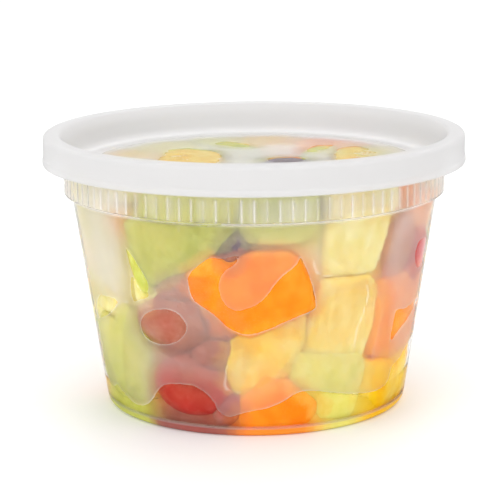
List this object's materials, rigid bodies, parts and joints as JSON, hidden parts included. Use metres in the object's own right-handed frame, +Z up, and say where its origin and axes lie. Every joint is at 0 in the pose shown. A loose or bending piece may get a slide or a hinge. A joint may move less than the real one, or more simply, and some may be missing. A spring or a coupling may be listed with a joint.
{
  "type": "fruit cup",
  "caption": "Round translucent deli cup with a recessed press-on lid, filled with cut melon, pineapple and grapes in a little juice.",
  "frame": {"origin": "centre of the foot, on the surface that the cup stands on", "axes": "+Z up along the cup's axis; -Y is the front of the fruit"},
  "size_m": [0.118, 0.118, 0.0762],
  "materials": {
    "cup_plastic": "translucent frosted polypropylene",
    "lid_plastic": "milky translucent polypropylene",
    "mixed_fruit": "moist cut fruit",
    "honeydew": "moist pale green melon flesh",
    "cantaloupe": "moist orange melon flesh",
    "pineapple": "moist fibrous yellow flesh",
    "grape": "smooth red grape skin with a light bloom",
    "juice": "clear yellow juice"
  },
  "bodies": {
    "root": {"cup": "cup_plastic", "lid": "lid_plastic", "fruit_heap": "mixed_fruit"}
  },
  "joints": []
}
